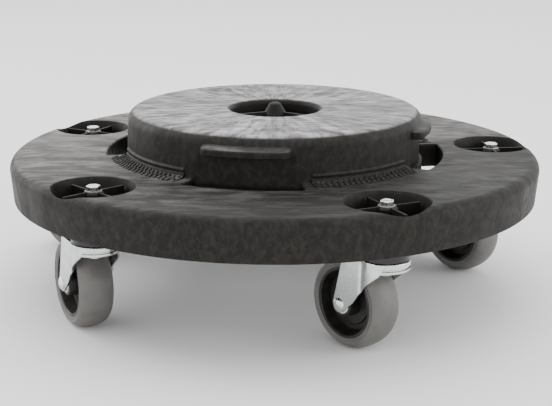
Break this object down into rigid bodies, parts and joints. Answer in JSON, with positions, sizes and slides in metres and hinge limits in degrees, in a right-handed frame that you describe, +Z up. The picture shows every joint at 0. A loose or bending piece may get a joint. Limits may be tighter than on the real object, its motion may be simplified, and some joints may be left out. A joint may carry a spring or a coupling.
{
  "type": "round container dolly",
  "caption": "Low round moulded-plastic dolly on swivel casters, with a raised drum and lugs that lock to a round container's base.",
  "frame": {"origin": "on the floor, under the middle of the deck", "axes": "+Z up; +X to the deck's right; -Y to the front, where a slot with a lug is"},
  "size_m": [0.4642, 0.464, 0.1683],
  "materials": {
    "deck_plastic": "black recycled plastic, streaked grey along the flow of the moulding, satin",
    "zinc_bolt": "bright zinc plate",
    "zinc_sheet": "zinc-plated pressed steel",
    "black_cap": "black e-coat",
    "ball_steel": "polished, greased",
    "wheel_plastic": "black moulded plastic",
    "grey_tyre": "grey thermoplastic rubber, satin",
    "bush_nylon": "natural nylon"
  },
  "bodies": {
    "deck": {"deck_moulding": "deck_plastic", "mounting_bolts": "zinc_bolt", "mounting_washers": "zinc_bolt", "mounting_nuts": "zinc_bolt", "top_cap_1": "black_cap", "kingpin_1": "zinc_sheet", "top_cap_2": "black_cap", "kingpin_2": "zinc_sheet", "top_cap_3": "black_cap", "kingpin_3": "zinc_sheet", "top_cap_4": "black_cap", "kingpin_4": "zinc_sheet", "top_cap_5": "black_cap", "kingpin_5": "zinc_sheet"},
    "caster_1": {"fork_1": "zinc_sheet", "upper_balls_1": "ball_steel", "lower_balls_1": "ball_steel", "axle_bolt_1": "zinc_bolt", "axle_nut_1": "zinc_bolt", "axle_sleeve_1": "zinc_bolt"},
    "wheel_1": {"wheel_core_1": "wheel_plastic", "tyre_1": "grey_tyre", "wheel_bush_1": "bush_nylon"},
    "caster_2": {"fork_2": "zinc_sheet", "upper_balls_2": "ball_steel", "lower_balls_2": "ball_steel", "axle_bolt_2": "zinc_bolt", "axle_nut_2": "zinc_bolt", "axle_sleeve_2": "zinc_bolt"},
    "wheel_2": {"wheel_core_2": "wheel_plastic", "tyre_2": "grey_tyre", "wheel_bush_2": "bush_nylon"},
    "caster_3": {"fork_3": "zinc_sheet", "upper_balls_3": "ball_steel", "lower_balls_3": "ball_steel", "axle_bolt_3": "zinc_bolt", "axle_nut_3": "zinc_bolt", "axle_sleeve_3": "zinc_bolt"},
    "wheel_3": {"wheel_core_3": "wheel_plastic", "tyre_3": "grey_tyre", "wheel_bush_3": "bush_nylon"},
    "caster_4": {"fork_4": "zinc_sheet", "upper_balls_4": "ball_steel", "lower_balls_4": "ball_steel", "axle_bolt_4": "zinc_bolt", "axle_nut_4": "zinc_bolt", "axle_sleeve_4": "zinc_bolt"},
    "wheel_4": {"wheel_core_4": "wheel_plastic", "tyre_4": "grey_tyre", "wheel_bush_4": "bush_nylon"},
    "caster_5": {"fork_5": "zinc_sheet", "upper_balls_5": "ball_steel", "lower_balls_5": "ball_steel", "axle_bolt_5": "zinc_bolt", "axle_nut_5": "zinc_bolt", "axle_sleeve_5": "zinc_bolt"},
    "wheel_5": {"wheel_core_5": "wheel_plastic", "tyre_5": "grey_tyre", "wheel_bush_5": "bush_nylon"}
  },
  "joints": [
    {"name": "swivel_1", "type": "hinge", "parent": "deck", "child": "caster_1", "pos_m": [0.19648, 0.02604, 0.0792], "axis": [0, 0, 1], "continuous": true},
    {"name": "roll_1", "type": "hinge", "parent": "caster_1", "child": "wheel_1", "pos_m": [0.17562, 0.05004, 0.0382], "axis": [-0.7547, -0.6561, 0], "continuous": true},
    {"name": "swivel_2", "type": "hinge", "parent": "deck", "child": "caster_2", "pos_m": [0.03595, 0.19491, 0.0792], "axis": [0, 0, 1], "continuous": true},
    {"name": "roll_2", "type": "hinge", "parent": "caster_2", "child": "wheel_2", "pos_m": [0.00607, 0.20579, 0.0382], "axis": [-0.342, -0.9397, 0], "continuous": true},
    {"name": "swivel_3", "type": "hinge", "parent": "deck", "child": "caster_3", "pos_m": [-0.17426, 0.09442, 0.0792], "axis": [0, 0, 1], "continuous": true},
    {"name": "roll_3", "type": "hinge", "parent": "caster_3", "child": "wheel_3", "pos_m": [-0.1979, 0.1157, 0.0382], "axis": [-0.6691, -0.7431, 0], "continuous": true},
    {"name": "swivel_4", "type": "hinge", "parent": "deck", "child": "caster_4", "pos_m": [-0.14365, -0.13656, 0.0792], "axis": [0, 0, 1], "continuous": true},
    {"name": "roll_4", "type": "hinge", "parent": "caster_4", "child": "wheel_4", "pos_m": [-0.15809, -0.10822, 0.0382], "axis": [-0.891, -0.454, 0], "continuous": true},
    {"name": "swivel_5", "type": "hinge", "parent": "deck", "child": "caster_5", "pos_m": [0.08548, -0.17882, 0.0792], "axis": [0, 0, 1], "continuous": true},
    {"name": "roll_5", "type": "hinge", "parent": "caster_5", "child": "wheel_5", "pos_m": [0.06462, -0.15482, 0.0382], "axis": [-0.7547, -0.6561, 0], "continuous": true}
  ]
}
